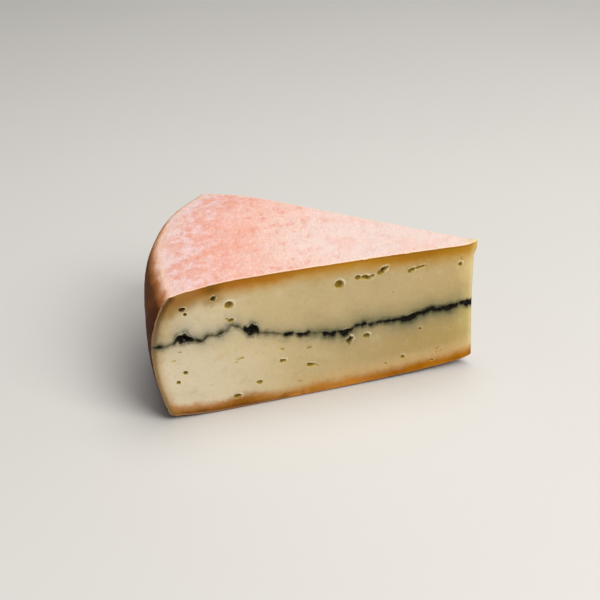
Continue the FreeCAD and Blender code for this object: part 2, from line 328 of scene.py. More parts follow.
# ---------------------------------------------------------------- eyes ------
# Eyes on the first cut: distance from the tip, height, half width, half height, depth, turn.
EYES = [(153.4, 59.8, 1.99, 1.29, 1.62, 18), (151.9, 57.1, 1.05, 1.05, 0.97, -30),
        (138.2, 62.8, 1.75, 1.29, 1.4, 35), (136.7, 64.1, 0.94, 0.7, 0.65, 40), (130.5, 58.2, 2.46, 2.34, 2.05, 0),
        (130.1, 49.6, 1.99, 1.17, 1.19, 12), (131.9, 50.6, 1.17, 0.82, 0.65, 0), (74.4, 59.1, 2.57, 2.52, 2.05, 10),
        (64.6, 61.4, 2.57, 1.52, 1.4, -18), (60.4, 60.6, 3.39, 1.64, 1.84, -8), (57.2, 61, 1.64, 1.05, 0.86, 20),
        (52.1, 62.8, 2.92, 1.64, 1.84, 38), (49.8, 64.3, 1.75, 0.82, 0.76, 40), (36.1, 60.6, 2.69, 1.35, 1.62, 24),
        (32.2, 61.6, 3.28, 0.94, 0.97, 12), (28.6, 62, 1.52, 0.7, 0.54, 0), (9.4, 59.6, 1.4, 1.75, 1.4, 0),
        (9, 62.4, 0.7, 1.4, 0.54, 0), (153.8, 25.1, 1.46, 1.29, 1.4, 0), (157.6, 20.2, 1.52, 1.17, 1.3, 0),
        (159.3, 32.8, 1.64, 0.58, 0.38, 10), (155.9, 37.2, 1.29, 0.53, 0.32, -10), (126.5, 27.7, 3.04, 0.7, 0.65, 8),
        (128.3, 26, 1.87, 0.53, 0.43, 20), (104.7, 28.5, 1.4, 0.94, 0.54, 0), (104.4, 22, 1.99, 1.4, 1.4, 0),
        (90.5, 26.8, 1.52, 0.94, 0.54, 0), (90.2, 16.6, 2.81, 1.35, 1.4, -8), (86.9, 15.7, 1.17, 0.7, 0.54, 0),
        (116.9, 12.3, 1.64, 1.17, 0.97, 0), (96.2, 8.2, 1.29, 0.7, 0.54, 0), (128.8, 6.4, 2.22, 1.64, 1.51, 12),
        (69.2, 26.6, 1.87, 2.46, 1.73, -24), (59.7, 27.7, 2.11, 1.75, 1.3, 20), (39.9, 11.5, 1.4, 1.4, 1.08, 0),
        (49.4, 9.5, 1.05, 0.94, 0.65, 0), (20.6, 12.8, 2.11, 0.64, 0.54, 30), (18.9, 10.9, 1.64, 0.47, 0.43, 30),
        (21.2, 10.8, 0.58, 1.29, 0.43, 0), (23.2, 6.2, 1.17, 0.94, 0.76, 0), (30.4, 26.2, 1.05, 0.94, 0.97, 0),
        (112, 51.4, 0.45, 0.4, 0.32, 0), (98, 59.9, 0.5, 0.4, 0.32, 0), (84, 47.4, 0.4, 0.35, 0.27, 0),
        (46, 49.9, 0.45, 0.4, 0.32, 0), (141.5, 15.8, 0.5, 0.4, 0.38, 0), (74.8, 10.8, 0.5, 0.4, 0.32, 0),
        (64, 17.9, 0.45, 0.4, 0.32, 0), (13.5, 23.4, 0.94, 0.58, 0.43, 20), (33, 5.8, 1.05, 0.58, 0.54, 10)]


def eyes_for(side):
    if side == -1:
        return EYES
    rng = np.random.default_rng(902)
    out = []
    for _ in range(42):
        s, z = rng.uniform(8, 158), rng.uniform(8, 64)
        big = rng.random() < 0.4
        w = rng.uniform(1.3, 2.5) if big else rng.uniform(0.4, 1.1)
        h = w * rng.uniform(0.45, 1.0)
        line = float(line_height(np.array(s)))
        if abs(z - line) > 4.5 and all(math.hypot(s - e[0], z - e[1]) > 5 for e in out):
            out.append((s, z, w, h, w * rng.uniform(0.6, 0.95), rng.uniform(-40, 40)))
    return out


def eye_fields(s, z, side, p):
    """For points of a cut: how deep its eyes are there, how far inside an eye a point is, and how strong the painted
    highlight on an eye's rim is, strongest on its upper side.
    """
    depth, inside, lip = (np.zeros(len(s)) for _ in range(3))
    wob = 0.09 * noise(p, 0.9, 61) + 0.1 * noise(p, 2.2, 62)
    for es, ez, w, h, d, turn in eyes_for(side):
        near = (np.abs(s - es) < 3 * max(w, h) + 1) & (np.abs(z - ez) < 3 * max(w, h) + 1)
        if not near.any():
            continue
        a = math.radians(turn)
        ds, dz = -(s[near] - es), z[near] - ez
        x = (ds * math.cos(a) + dz * math.sin(a)) / w
        y = (-ds * math.sin(a) + dz * math.cos(a)) / h
        q = np.hypot(x, y) + wob[near] * (0.6 if abs(w - h) < 0.3 else 1.5)
        bowl = d * (1 - smooth((q - 0.35) / 0.72)) * (1 + 0.15 * y)
        depth[near] = np.maximum(depth[near], bowl)
        inside[near] = np.maximum(inside[near], (1 - smooth((q - 0.5) / 0.62)) * min(1.0, d / 1.0))
        # the painted highlight on each eye's rim, strongest on the side above and toward the tip, where the light falls
        ring = np.exp(-((q - 1.22) / 0.28) ** 2) * min(1.0, d / 1.0)
        facing = (0.6 * ds + 0.8 * dz) / np.maximum(np.hypot(ds, dz), 0.2)
        lip[near] = np.maximum(lip[near], ring * np.clip(0.42 + 0.58 * facing, 0.05, 1))
    return depth, inside, lip


# ---------------------------------------------------------------- patches ---
def nearest(pts, line, closed=False):
    """Distance from each point to a polyline, and the nearest point on it."""
    a = line
    b = np.roll(line, -1, 0) if closed else line[1:]
    if not closed:
        a = line[:-1]
    ab = b - a
    den = np.maximum((ab ** 2).sum(1), 1e-12)
    dist, near, where = np.empty(len(pts)), np.empty((len(pts), 2)), np.empty(len(pts))
    for k in range(0, len(pts), 1000):
        p = pts[k:k + 1000]
        px, py = p[:, :1] - a[:, 0], p[:, 1:2] - a[:, 1]
        t = np.clip((px * ab[:, 0] + py * ab[:, 1]) / den, 0, 1)
        d2 = (px - t * ab[:, 0]) ** 2 + (py - t * ab[:, 1]) ** 2
        i = d2.argmin(1)
        r = np.arange(len(p))
        ti = t[r, i]
        dist[k:k + 1000] = np.sqrt(d2[r, i])
        near[k:k + 1000] = a[i] + ti[:, None] * ab[i]
        where[k:k + 1000] = i + ti
    return dist, near, where


def within(loop, x, y):
    """Which of the points x, all at one height y, lie inside a closed loop."""
    ya, yb = loop[:, 1], np.roll(loop[:, 1], -1)
    xa, xb = loop[:, 0], np.roll(loop[:, 0], -1)
    hit = (ya > y) != (yb > y)
    cross = np.sort(xa[hit] + (y - ya[hit]) / (yb[hit] - ya[hit]) * (xb[hit] - xa[hit]))
    return np.searchsorted(cross, x) % 2 == 1


def lattice(loop, h):
    """Evenly spaced points inside a closed loop."""
    lo, hi = loop.min(0), loop.max(0)
    dy = h * math.sqrt(3) / 2
    rows = []
    for k, y in enumerate(np.arange(lo[1] + dy * 0.31, hi[1], dy)):
        x = np.arange(lo[0], hi[0] + h, h) + (h / 2 if k % 2 else 0)
        x = x[within(loop, x, y)]
        rows.append(np.c_[x, np.full(len(x), y)])
    return np.vstack(rows) if rows else np.zeros((0, 2))


def fill(loop, size_at, sizes):
    """Points inside a closed loop, spaced as size_at says, in steps of sizes."""
    out = []
    for k, h in enumerate(sizes):
        pts = lattice(loop, h)
        want = size_at(pts, h)
        high = np.inf if k == 0 else math.sqrt(sizes[k - 1] * h)
        low = 0 if k == len(sizes) - 1 else math.sqrt(sizes[k + 1] * h)
        pts = pts[(want < high) & (want >= low)]
        out.append(np.c_[pts, np.full(len(pts), h)])
    pts = np.vstack(out)
    dist = nearest(pts[:, :2], loop, closed=True)[0]
    pts = pts[dist > 0.5 * np.minimum(pts[:, 2], 0.6)]
    rng = np.random.default_rng(7)
    return pts[:, :2] + (rng.random((len(pts), 2)) - 0.5) * 0.22 * pts[:, 2:3]


def triangulate(loop, inner):
    """Delaunay triangles inside the loop. Points are the loop's, then the inner ones."""
    pts = np.vstack([loop, inner]).astype(np.float32).astype(float)
    n = len(loop)
    loop = pts[:n]
    res = delaunay_2d_cdt([Vector((float(a), float(b))) for a, b in pts], [], [list(range(n))], 0, 1e-7, True)
    first = np.array([o[0] if o else -1 for o in res[3]])
    tris = first[np.array([f for f in res[2] if len(f) == 3], int)]
    tris = tris[(tris >= 0).all(1)]
    edge_only = np.flatnonzero((tris < n).all(1))
    mid = pts[tris[edge_only]].mean(1)
    keep = np.ones(len(tris), bool)
    keep[edge_only] = [within(loop, x, y) for x, y in mid]
    return tris[keep]


class Mesh:
    """Vertices with their values, and triangles, put together patch by patch."""

    FIELDS = ("rind", "rim", "edge", "d_top", "d_rim", "d_base", "ash", "haze", "dark", "pit", "lip", "run")

    def __init__(self):
        self.p, self.n, self.move, self.val, self.tris = [], 0, [], {f: [] for f in self.FIELDS}, []

    def add(self, p, move=0.0, **values):
        ids = np.arange(self.n, self.n + len(p))
        self.n += len(p)
        self.p.append(np.asarray(p, float))
        self.move.append(np.zeros((len(p), 3)) + move)
        for f in self.FIELDS:
            v = values.get(f, 0.0)
            self.val[f].append(np.broadcast_to(np.asarray(v, float), (len(p),)).copy())
        return ids

    def settle_arrays(self):
        self.p = [np.vstack(self.p)]
        self.move = [np.vstack(self.move)]
        for f in self.FIELDS:
            self.val[f] = [np.concatenate(self.val[f])]

    def points(self):
        self.settle_arrays()
        return self.p[0]

    def moves(self):
        self.settle_arrays()
        return self.move[0]

    def patch(self, loop_ids, inner_ids, loop2, inner2, towards):
        tris = triangulate(loop2, inner2)
        ids = np.r_[loop_ids, inner_ids][tris]
        p = self.points()
        a, b, c = (p[ids[:, k]] for k in range(3))
        nrm = np.cross(b - a, c - a)
        want = towards(p[ids].mean(1))
        if (nrm * want).sum() < 0:
            ids = ids[:, ::-1]
        self.tris.append(ids)

    def build(self, name, material):
        self.settle_arrays()
        tris = np.vstack(self.tris)
        tris = tris[(tris[:, 0] != tris[:, 1]) & (tris[:, 1] != tris[:, 2]) & (tris[:, 0] != tris[:, 2])]
        used, inv = np.unique(tris, return_inverse=True)
        tris = inv.reshape(-1, 3)
        co = (self.p[0] + self.move[0])[used]
        reach = np.hypot(co[:, 0], co[:, 1])
        notch = 0.95 * smooth((69.4 - co[:, 2]) / 6.0) * smooth((co[:, 2] - 6.0) / 40.0)
        co[:, 0] -= 0.12 * np.exp(-reach / 2.0) + notch * np.exp(-(reach / 6.0) ** 2)
        # the upper corner is drawn up a little
        blunt = np.clip(1 - ((co[:, 2] - 67.4) / 4.6) ** 2, 0, None) * np.exp(-(reach / 2.6) ** 2)
        co[:, 0] += 0.75 * blunt
        co[:, 2] += 1.1 * smooth((co[:, 2] - 58.0) / 13.0) * np.exp(-(reach / 4.2) ** 2)
        co[:, 0] = np.minimum(co[:, 0] + APEX_X, CAD_HI.x * 1000 - 0.03)
        co[:, 1] += APEX_Y
        co *= 0.001
        me = bpy.data.meshes.new(name)
        me.vertices.add(len(co))
        me.vertices.foreach_set("co", co.ravel())
        me.loops.add(len(tris) * 3)
        me.loops.foreach_set("vertex_index", tris.ravel().astype(np.int32))
        me.polygons.add(len(tris))
        me.polygons.foreach_set("loop_start", np.arange(0, len(tris) * 3, 3, dtype=np.int32))
        me.polygons.foreach_set("use_smooth", np.ones(len(tris), bool))
        me.update(calc_edges=True)
        me.validate()
        for f in self.FIELDS:
            at = me.attributes.new(f, "FLOAT", "POINT")
            at.data.foreach_set("value", self.val[f][0][used].astype(np.float32))
        me.materials.append(material)
        ob = bpy.data.objects.new(name, me)
        bpy.context.scene.collection.objects.link(ob)
        return ob


# ---------------------------------------------------------------- curves ----
def on_section(half, u, angle):
    sec = SECTIONS[half]
    r, z = np.interp(u, sec["u"], sec["r"]), np.interp(u, sec["u"], sec["z"])
    return settle(r, z, angle)


def cut_angle_at(half, u, side):
    """Angle at which the rind at arc length u meets a cut, and the distance along the cut and height there."""
    angle = np.full(len(u), side * HALF)
    for _ in range(5):
        rho, z = on_section(half, u, angle)
        safe = np.maximum(rho, 1e-3)
        s = safe.copy()
        delta = np.zeros(len(u))
        for _ in range(12):
            delta = 0.5 * delta + 0.5 * np.arcsin(np.clip(face_swell(s, z, side) / safe, -0.9, 0.9))
            s = safe * np.cos(delta)
        angle = side * (HALF + delta)
    s = np.where(rho < 1e-3, 0.0, s)
    return angle, s, z


def rind_point(half, u, angle):
    rho, z = on_section(half, u, angle)
    return np.c_[-rho * np.cos(angle), rho * np.sin(angle), z]


def rind_normal(half, u, angle):
    du, da = 0.05, 0.0005
    a = rind_point(half, np.maximum(u - du, 0.3), angle)
    b = rind_point(half, np.maximum(u + du, 0.4), angle)
    c, d = rind_point(half, np.maximum(u, 0.5), angle - da), rind_point(half, np.maximum(u, 0.5), angle + da)
    n = np.cross(b - a, d - c)
    n /= np.maximum(np.linalg.norm(n, axis=1), 1e-12)[:, None]
    flip = np.where((n * np.c_[-np.cos(angle), np.sin(angle), np.zeros(len(u))]).sum(1)
                    + n[:, 2] * (1 if half == "top" else -1) < 0, -1, 1)
    return n * flip[:, None]


STEP = 0.32
WHICH = {"top": 1, "bottom": -1}


def rim_meet(half, angle, guess):
    """Arc length at which the rind meets the ash layer's edge at these angles."""
    sec = SECTIONS[half]
    u = guess.copy()
    for _ in range(8):
        p = rind_point(half, u, angle)
        goal = ash_edge(p, WHICH[half])
        u = u + (p[:, 2] - goal) * (1 if half == "top" else -1)
        u = np.clip(u, sec["edge"] + 2, sec["u"][-1] - 0.5)
    return u


CURVES = {}
for half in ("top", "bottom"):
    c = CURVES[half] = {}
    sec = SECTIONS[half]
    for side in (-1, 1):
        u_end = rim_meet(half, np.array([side * HALF]), np.array([sec["edge"] + 22.0]))[0]
        for _ in range(4):
            ang, s, z = cut_angle_at(half, np.array([u_end]), side)
            goal = ash_edge(face_point(s, z, side), WHICH[half])[0]
            u_end += (z[0] - goal) * (1 if half == "top" else -1)
        n = int(round(u_end / STEP))
        t = np.linspace(0, 1, n + 1)
        u = u_end * t
        u[:6] = u_end * t[:6]
        ang, s, z = cut_angle_at(half, u, side)
        c["rind", side] = {"u": u, "angle": ang, "s": s, "z": z}
        # ash edge along the cut, from the rim to the tip
        n = int(round(s[-1] / STEP))
        sv = np.linspace(s[-1], 0, n + 1)
        for _ in range(3):
            zv = ash_edge(face_point(sv, np.full(len(sv), 40.0), side), WHICH[half])
        zv = ash_edge(face_point(sv, zv, side), WHICH[half])
        zv[0] = z[-1]
        c["ash", side] = {"s": sv, "z": zv}
    # both cuts meet the ash at one point of the tip
    tip_z = 0.5 * (c["ash", -1]["z"][-1] + c["ash", 1]["z"][-1])
    for side in (-1, 1):
        a = c["ash", side]
        blend = smooth(1 - a["s"] / 6.0)
        a["z"] = a["z"] + blend * (tip_z - a["z"][-1])
        s_tip = float(tip_start(np.array([tip_z]), side)[0])
        a["s"] = a["s"] + blend * s_tip
        a["z"][-1] = tip_z
    z_apex = float(np.interp(0, sec["u"], sec["z"]))
    n = int(round(abs(z_apex - tip_z) / STEP))
    zt = np.linspace(tip_z, z_apex, n + 1)
    c["tip"] = {"z": zt, "s": {side: tip_start(zt, side) for side in (-1, 1)}}
    # ash edge along the rim, from the first cut to the second
    a0, a1 = c["rind", -1]["angle"][-1], c["rind", 1]["angle"][-1]
    n = int(round((a1 - a0) * WHEEL_RADIUS / (STEP * 1.4)))
    ang = np.linspace(a0, a1, n + 1)
    u = rim_meet(half, ang, np.linspace(c["rind", -1]["u"][-1], c["rind", 1]["u"][-1], n + 1))
    u[0], u[-1] = c["rind", -1]["u"][-1], c["rind", 1]["u"][-1]
    c["rim"] = {"u": u, "angle": ang}

# whole outline of each cut's rind, from the tip's top round the rim to the tip's bottom
OUTLINE = {}
for side in (-1, 1):
    t, b = CURVES["top"]["rind", side], CURVES["bottom"]["rind", side]
    OUTLINE[side] = {
        "line": np.vstack([np.c_[t["s"], t["z"]], np.c_[b["s"], b["z"]][::-1]]),
        "top": np.c_[t["s"], t["z"]][t["u"] < SECTIONS["top"]["edge"] + 0.5],
        "rim": np.vstack([np.c_[t["s"], t["z"]][t["u"] > SECTIONS["top"]["edge"] - 0.5],
                          np.c_[b["s"], b["z"]][b["u"] > SECTIONS["bottom"]["edge"] - 0.5][::-1]]),
        "base": np.c_[b["s"], b["z"]][b["u"] < SECTIONS["bottom"]["edge"] + 0.5],
    }


def lip_at(s, half, u):
    """Radius of the edge between rind and cut: fuller on top, sharper at the rim and below."""
    side = smooth((u - SECTIONS[half]["edge"] + 6.0) / 10.0)
    full = LIP if half == "top" else 0.42
    return (full + (0.45 - full) * side) * smooth((s + 0.4) / 4.0)


def rind_relief(p, half, rim):
    """How far the rind lies inside its smooth form: low swells, a fine grain, pits and small folds on the rim."""
    swell = 0.08 + 0.09 * noise(p, 17.0, 81) + 0.05 * noise(p, 6.0, 82)
    grain = 0.035 * (1 + noise(p, 1.9, 83)) + 0.03 * np.abs(noise(p, 1.1, 84))
    band = p.copy()
    band[:, 2] *= 3.2
    on_rim = smooth(rim / 5.0)
    folds = 0.12 * np.abs(noise(band, 7.0, 85)) + 0.07 * np.abs(noise(band, 3.0, 86))
    if half == "bottom":
        swell = swell * (0.25 + 0.75 * on_rim)
        grain = grain * 0.7
    pocks = 0.2 * smooth((noise(p, 3.4, 87) - 0.72) / 0.3)
    return np.clip(swell, 0.01, None) + grain + on_rim * folds + pocks


def rind_move(half, u, angle):
    """How the rind's points move: its relief, and the rounding along both cuts."""
    p = rind_point(half, u, angle)
    n = rind_normal(half, u, angle)
    rho = np.hypot(p[:, 0], p[:, 1])
    near_tip = smooth(rho / 2.5)
    move = -(rind_relief(p, half, u - SECTIONS[half]["edge"]) * (0.25 + 0.75 * near_tip))[:, None] * n
    for side in (-1, 1):
        cut = CURVES[half]["rind", side]
        limit = np.interp(u, cut["u"], cut["angle"])
        d = rho * np.sin(np.clip((limit - angle) * side, 0, 1))
        b = np.maximum(np.minimum(lip_at(rho, half, u), 0.45 * rho), 1e-6)
        theta = np.clip(1 - d / b, 0, 1) * math.pi / 4
        slide = np.where(d < b, b * (1 - np.sin(theta)) - d, 0.0)
        sink = np.where(d < b, b * (1 - np.cos(theta)), 0.0)
        # at the very edge the cut sinks as much as the rind does
        move = move - slide[:, None] * OUT[side] - sink[:, None] * n
    return move


for half in ("top", "bottom"):
    for side in (-1, 1):
        cut = CURVES[half]["rind", side]
        cut["move"] = rind_move(half, cut["u"], cut["angle"])
        cut["line"] = np.c_[cut["s"], cut["z"]]


def lip_move(s, z, side, half):
    """How a cut's points move near its rind: the rounded edge, and the rind's own relief dying out over the cut."""
    cut = CURVES[half]["rind", side]
    pts = np.c_[s, z]
    d, q, k = nearest(pts, cut["line"])
    b = np.maximum(lip_at(q[:, 0], half, np.interp(k, np.arange(len(cut["u"])), cut["u"])), 1e-6)
    theta = np.clip(1 - d / b, 0, 1) * math.pi / 4
    way = (pts - q) / np.maximum(d, 1e-9)[:, None]
    slide = np.where(d < b, b * (1 - np.sin(theta)) - d, 0.0)
    sink = np.where(d < b, b * (1 - np.cos(theta)), 0.0)
    move = (slide * way[:, 0])[:, None] * ALONG[side] + (slide * way[:, 1])[:, None] * np.array([0, 0, 1.0]) \
        - sink[:, None] * OUT[side]
    i = np.minimum(k.astype(int), len(cut["s"]) - 2)
    f = (k - i)[:, None]
    edge = cut["relief"][i] * (1 - f) + cut["relief"][i + 1] * f
    return move + edge * (1 - smooth(d / 3.5))[:, None]


for half in ("top", "bottom"):
    for side in (-1, 1):
        cut = CURVES[half]["rind", side]
        p, n = rind_point(half, cut["u"], cut["angle"]), rind_normal(half, cut["u"], cut["angle"])
        rho = np.hypot(p[:, 0], p[:, 1])
        cut["relief"] = -(rind_relief(p, half, cut["u"] - SECTIONS[half]["edge"])
                          * (0.25 + 0.75 * smooth(rho / 2.5)))[:, None] * n


def face_values(s, z, side, half):
    """Values of a cut's points for its material, and the depth of its eyes."""
    p = face_point(s, z, side)
    pts = np.c_[s, z]
    d = {k: nearest(pts, OUTLINE[side][k][::2])[0] for k in ("top", "rim", "base")}
    seam = CURVES[half]["ash", side]
    gap = nearest(pts, np.c_[seam["s"], seam["z"]])[0]
    table = np.array(HAZE[half])
    haze = np.interp(s, table[:, 0], table[:, 1]) * np.clip(np.exp(-gap / np.interp(s, table[:, 0], table[:, 2])) - 0.05, 0, None)
    # more ash is smeared below the layer than above in the middle of the cut
    gap = gap * (1 - (0.3 if half == "bottom" else -0.12) * smooth((s - 56) / 12) * smooth((126 - s) / 12))
    depth, inside, lip = eye_fields(s, z, side, p)
    thick, _, hollow = lump_fields(np.hypot(p[:, 0], p[:, 1]), side)
    # the eyes by the heel and by the ash are stained dark
    stained = np.zeros(len(s))
    if side == -1:
        for es, ez, reach in ((153.0, 59.0, 3.4), (137.8, 63.2, 3.0), (69.2, 26.6, 2.8), (49.8, 64.6, 2.4)):
            stained = np.maximum(stained, inside * (1 - smooth(np.hypot(s - es, z - ez) / reach - 0.6)))
    # a painted highlight on the eyes' rims and just above the ash's hollows, stronger on the upper paste
    lip = np.maximum(0.68 * lip, np.clip(hollow, 0, 1.2) * (0.95 if half == "top" else 0.2) * np.exp(-((gap - 0.8) / 0.45) ** 2))
    return {"d_top": d["top"], "d_rim": d["rim"], "d_base": d["base"], "ash": gap, "haze": haze,
            "dark": np.maximum(smooth(thick / 1.5) * smooth((9 - gap) / 4), stained),
            "pit": inside, "lip": lip, "run": s}, depth


def face_relief(s, z, side, depth):
    """How far a cut's points lie inside the smooth cut."""
    p = face_point(s, z, side)
    fade = smooth((s - 0.5) / 4.0)
    wave = 0.20 * noise(p, 19.0, 71) + 0.10 * noise(p, 6.5, 72) + 0.035 * noise(p, 2.0, 73)
    pull = p.copy()
    pull[:, 2] *= 7.0
    steps = 0.03 * noise(pull, 16.0, 74)
    edge = smooth(nearest(np.c_[s, z], OUTLINE[side]["line"][::3])[0] / 3.0)
    return fade * edge * (wave + steps + 0.12) + depth * smooth((s + 1) / 2.0)


def face_move(s, z, side, half, depth):
    return lip_move(s, z, side, half) - face_relief(s, z, side, depth)[:, None] * OUT[side]


def cut_patch(m, half, side, sizes, ids_rind, ids_ash, ids_tip):
    """One cut of the upper or the lower paste."""
    c = CURVES[half]
    r, a, t = c["rind", side], c["ash", side], c["tip"]
    loop = np.vstack([r["line"], np.c_[a["s"], a["z"]][1:], np.c_[t["s"][side], t["z"]][1:-1]])
    ids = np.r_[ids_rind, ids_ash[1:], ids_tip[1:-1]]

    def size_at(pts, h):
        want = np.full(len(pts), sizes[0])
        for es, ez, w, hh, *_ in eyes_for(side):
            q = np.hypot(pts[:, 0] - es, pts[:, 1] - ez)
            big = max(w, hh)
            want[q < 2.2 * big + 0.6] = np.minimum(want[q < 2.2 * big + 0.6], sizes[1])
            want[q < 1.35 * big + 0.3] = sizes[2]
        if h > sizes[2] + 1e-6:
            d = nearest(pts, loop[::4], closed=True)[0]
            want[d < 1.1] = np.minimum(want[d < 1.1], sizes[1])
        return want

    inner = fill(loop, size_at, sizes)
    vals, depth = face_values(inner[:, 0], inner[:, 1], side, half)
    ids_in = m.add(face_point(inner[:, 0], inner[:, 1], side), face_move(inner[:, 0], inner[:, 1], side, half, depth),
                   **vals)
    m.patch(ids, ids_in, loop, inner, lambda p: np.broadcast_to(OUT[side], p.shape))


def rimness(half, u):
    """How far over the edge on to the rim a point of the rind is; the base is finished as the rim is."""
    return u - SECTIONS[half]["edge"] if half == "top" else np.full(len(u), 20.0)


def rind_patch(m, half, sizes, ids_first, ids_second, ids_rim):
    """The rind of one half: a face of the wheel, its edge, and its rim as far as the ash."""
    c, edge = CURVES[half], SECTIONS[half]["edge"]
    f, b, rim = c["rind", -1], c["rind", 1], c["rim"]

    def flat(v):
        return np.c_[v["u"] * np.cos(v["angle"]), v["u"] * np.sin(v["angle"])]

    loop = np.vstack([flat(f), flat(rim)[1:], flat(b)[::-1][1:-1]])
    ids = np.r_[ids_first, ids_rim[1:], ids_second[::-1][1:-1]]

    def size_at(pts, h):
        d = nearest(pts, loop[::4], closed=True)[0]
        u = np.hypot(pts[:, 0], pts[:, 1])
        want = np.where(d < 1.0, sizes[1], sizes[0])
        return np.where(np.abs(u - edge) < 3.5, np.minimum(want, sizes[1] * 1.25), want)

    inner = fill(loop, size_at, sizes)
    u, angle = np.hypot(inner[:, 0], inner[:, 1]), np.arctan2(inner[:, 1], inner[:, 0])
    p = rind_point(half, u, angle)
    near = np.minimum(*(np.hypot(p[:, 0], p[:, 1]) * np.sin(np.clip(
        (np.interp(u, c["rind", side]["u"], c["rind", side]["angle"]) - angle) * side, 0, 1)) for side in (-1, 1)))
    ids_in = m.add(p, rind_move(half, u, angle), rind=1.0, rim=rimness(half, u), edge=near, ash=9.0, run=u)

    def towards(q):
        out = np.hypot(q[:, 0], q[:, 1]) > 158
        return np.c_[np.where(out, q[:, 0], 0), np.where(out, q[:, 1], 0), np.where(out, 0, WHICH[half] * 100.0)]

    m.patch(ids, ids_in, loop, inner, towards)


def cap_patch(m, half, loop_ids, up):
    """A hidden surface between paste and ash."""
    loop = m.points()[loop_ids][:, :2]

    def size_at(pts, h):
        d = nearest(pts, loop[::6], closed=True)[0]
        return np.where(d < 4.0, 1.2, 4.0)

    inner = fill(loop, size_at, [4.0, 1.2])
    q = np.c_[inner, np.zeros(len(inner))]
    q[:, 2] = ash_edge(q, WHICH[half])
    ids_in = m.add(q)
    m.patch(loop_ids, ids_in, loop, inner, lambda p: np.broadcast_to(np.array([0, 0, 1.0 if up else -1.0]), p.shape))


SHARED = {}


def build_paste(half, name, material, cut_sizes, back_sizes, rind_sizes):
    m = Mesh()
    c = CURVES[half]
    ids = {}
    for side in (-1, 1):
        r, a = c["rind", side], c["ash", side]
        ids["rind", side] = m.add(rind_point(half, r["u"], r["angle"]), r["move"], rind=1.0, rim=rimness(half, r["u"]), ash=9.0,
                                  run=r["u"])
        vals, depth = face_values(a["s"], a["z"], side, half)
        vals["ash"] = 0.0
        ids["ash", side] = m.add(face_point(a["s"], a["z"], side), face_move(a["s"], a["z"], side, half, depth), **vals)
        ids["ash", side][0] = ids["rind", side][-1]
    t = c["tip"]
    vals, depth = face_values(t["s"][-1], t["z"], -1, half)
    ids["tip"] = m.add(face_point(t["s"][-1], t["z"], -1), **vals)
    ids["ash", -1][-1] = ids["ash", 1][-1] = ids["tip"][0]
    ids["tip"][-1] = ids["rind", 1][0] = ids["rind", -1][0]
    rim = c["rim"]
    ids["rim"] = m.add(rind_point(half, rim["u"], rim["angle"]), rind_move(half, rim["u"], rim["angle"]), rind=1.0,
                       rim=rimness(half, rim["u"]), ash=9.0, run=rim["u"])
    ids["rim"][0], ids["rim"][-1] = ids["rind", -1][-1], ids["rind", 1][-1]
    for side, sizes in ((-1, cut_sizes), (1, back_sizes)):
        cut_patch(m, half, side, sizes, ids["rind", side], ids["ash", side], ids["tip"])
    rind_patch(m, half, rind_sizes, ids["rind", -1], ids["rind", 1], ids["rim"])
    cap_patch(m, half, np.r_[ids["ash", -1], ids["ash", 1][::-1][1:], ids["rim"][::-1][1:-1]], half == "bottom")
    end = m.points() + m.moves()
    SHARED[half] = {k: end[ids[k]] for k in (("ash", -1), ("ash", 1), "rim")}
    return m.build(name, material)


def build_ash(name, material):
    """The ash layer between the two pastes: it shares their edges, and its own face is rough."""
    m = Mesh()
    ids = {}
    for half in ("top", "bottom"):
        for key in (("ash", -1), ("ash", 1), "rim"):
            at = SHARED[half][key]
            thick = lump_fields(np.hypot(at[:, 0], at[:, 1]), 1 if key == ("ash", 1) else -1)[0]
            ids[half, key] = m.add(at, rind=1.0 if key == "rim" else 0.0, d_rim=30, d_top=30, d_base=30, rim=20.0,
                                   dark=smooth(thick / 1.5))
        ids[half, ("ash", 1)][-1] = ids[half, ("ash", -1)][-1]
        ids[half, "rim"][0], ids[half, "rim"][-1] = ids[half, ("ash", -1)][0], ids[half, ("ash", 1)][0]
    for half in ("top", "bottom"):
        loop = np.r_[ids[half, ("ash", -1)], ids[half, ("ash", 1)][::-1][1:], ids[half, "rim"][::-1][1:-1]]
        cap_patch(m, half, loop, half == "top")
    for side in (-1, 1):
        t, b = CURVES["top"]["ash", side], CURVES["bottom"]["ash", side]
        loop = np.vstack([np.c_[t["s"], t["z"]], np.c_[b["s"], b["z"]][::-1]])
        inner = fill(loop, lambda q, h: np.full(len(q), 0.36), [0.36])
        s, z = inner[:, 0], inner[:, 1]
        p = face_point(s, z, side)
        d = nearest(inner, loop, closed=True)[0]
        rough = 0.16 + 0.3 * noise(p, 0.9, 91) + 0.42 * noise(p, 2.3, 92) \
            + lump_fields(np.hypot(p[:, 0], p[:, 1]), side)[2]
        _, depth = face_values(s, z, side, "top")
        move = face_move(s, z, side, "top", depth) - (rough * smooth(d / 0.7))[:, None] * OUT[side]
        ids_in = m.add(p, move, rim=20.0, d_rim=30, d_top=30, d_base=30, run=s, pit=smooth(d / 0.9),
                       dark=smooth(lump_fields(np.hypot(p[:, 0], p[:, 1]), side)[0] / 1.5))
        m.patch(np.r_[ids["top", ("ash", side)], ids["bottom", ("ash", side)][::-1]], ids_in, loop, inner,
                lambda q: np.broadcast_to(OUT[side], q.shape))
    t, b = CURVES["top"]["rim"], CURVES["bottom"]["rim"]
    tp, bp = SHARED["top"]["rim"], SHARED["bottom"]["rim"]
    loop = np.vstack([np.c_[t["angle"] * WHEEL_RADIUS, tp[:, 2]], np.c_[b["angle"] * WHEEL_RADIUS, bp[:, 2]][::-1]])
    m.patch(np.r_[ids["top", "rim"], ids["bottom", "rim"][::-1]], np.zeros(0, int), loop, np.zeros((0, 2)),
            lambda q: q * np.array([1.0, 1.0, 0.0]))
    return m.build(name, material)


# ---------------------------------------------------------------- finishes --
def rgb(r, g, b):
    def lin(v):
        v /= 255.0
        return v / 12.92 if v <= 0.04045 else ((v + 0.055) / 1.055) ** 2.4
    return (lin(r), lin(g), lin(b), 1.0)


